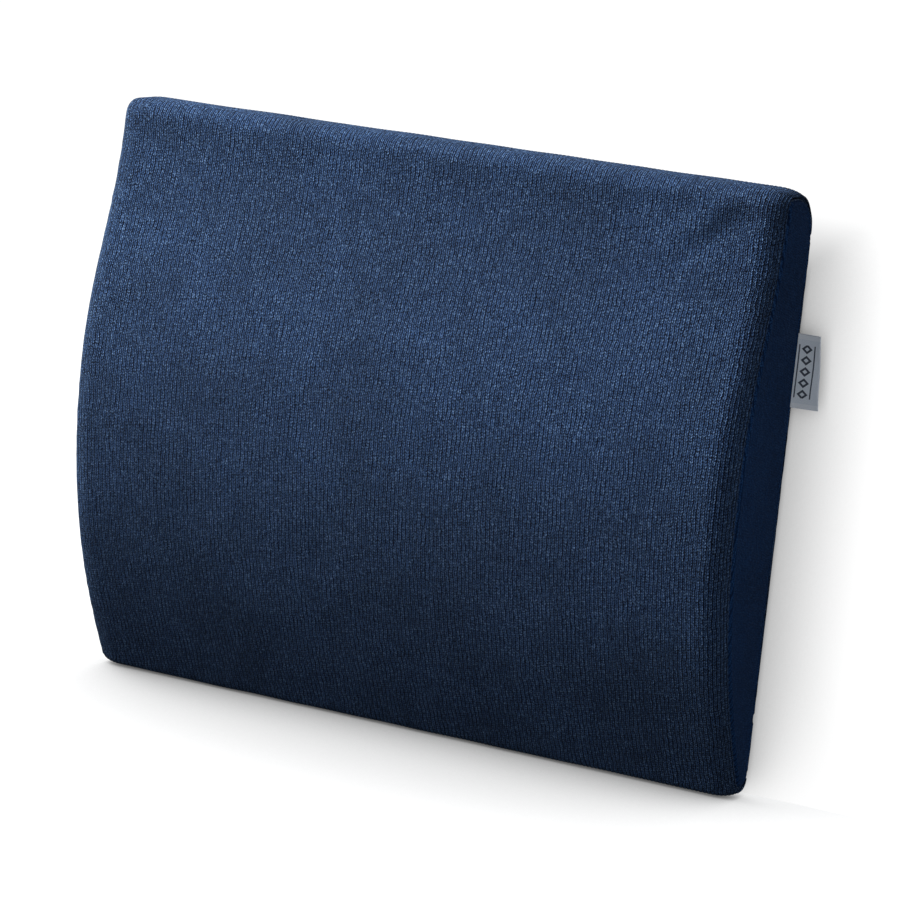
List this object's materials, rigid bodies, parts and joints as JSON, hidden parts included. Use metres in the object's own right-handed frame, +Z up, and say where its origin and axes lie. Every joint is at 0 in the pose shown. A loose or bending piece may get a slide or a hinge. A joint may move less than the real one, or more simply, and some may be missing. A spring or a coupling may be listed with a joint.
{
  "type": "lumbar support cushion",
  "caption": "Upright lumbar cushion: contoured foam core with a curved front and flat back, in a navy rib-knit cover with side panels, side label and a lower back zip.",
  "frame": {"origin": "middle of the flat back face, which rests against a chair's backrest", "axes": "+X to the right of someone who faces the curved front, +Y out of the flat back, +Z up as the cushion stands in use"},
  "size_m": [0.3115, 0.06, 0.25],
  "materials": {
    "foam": "open-cell viscoelastic foam, matt",
    "cover_knit": "navy rib knit with a soft nap and a light sheen",
    "side_knit": "navy rib knit, finer and smoother than the front",
    "thread": "spun polyester thread",
    "label_ribbon": "white satin ribbon with a woven border",
    "zip_tape": "woven tape",
    "zip_coil": "satin nylon monofilament",
    "zip_metal": "dark enamel, worn to bare metal on its edges"
  },
  "bodies": {
    "root": {"foam_core": "foam", "front_panel": "cover_knit", "side_panel_right": "side_knit", "side_panel_left": "side_knit", "back_panel_upper": "cover_knit", "back_panel_lower": "cover_knit", "seam_thread_right": "thread", "seam_thread_left": "thread", "seam_thread_top": "thread", "seam_thread_bottom": "thread", "zip_stitch_upper": "thread", "zip_stitch_lower": "thread", "side_label": "label_ribbon", "zip_tape_upper": "zip_tape", "zip_tape_lower": "zip_tape", "zip_coil_upper": "zip_coil", "zip_coil_lower": "zip_coil", "zip_top_stop_upper": "zip_metal", "zip_top_stop_lower": "zip_metal", "zip_bottom_stop": "zip_metal"},
    "slider": {"zip_slider": "zip_metal"},
    "pull": {"zip_pull": "zip_metal"}
  },
  "joints": [
    {"name": "zip_slide", "type": "slide", "parent": "root", "child": "slider", "axis": [1, 0, 0], "range_m": [0, 0.2175], "deforming": ["zip_coil_upper", "zip_coil_lower"]},
    {"name": "pull_swing", "type": "hinge", "parent": "slider", "child": "pull", "pos_m": [-0.1154, -0.0019, -0.093], "axis": [0, 0, 1], "range_deg": [0, 160]}
  ]
}
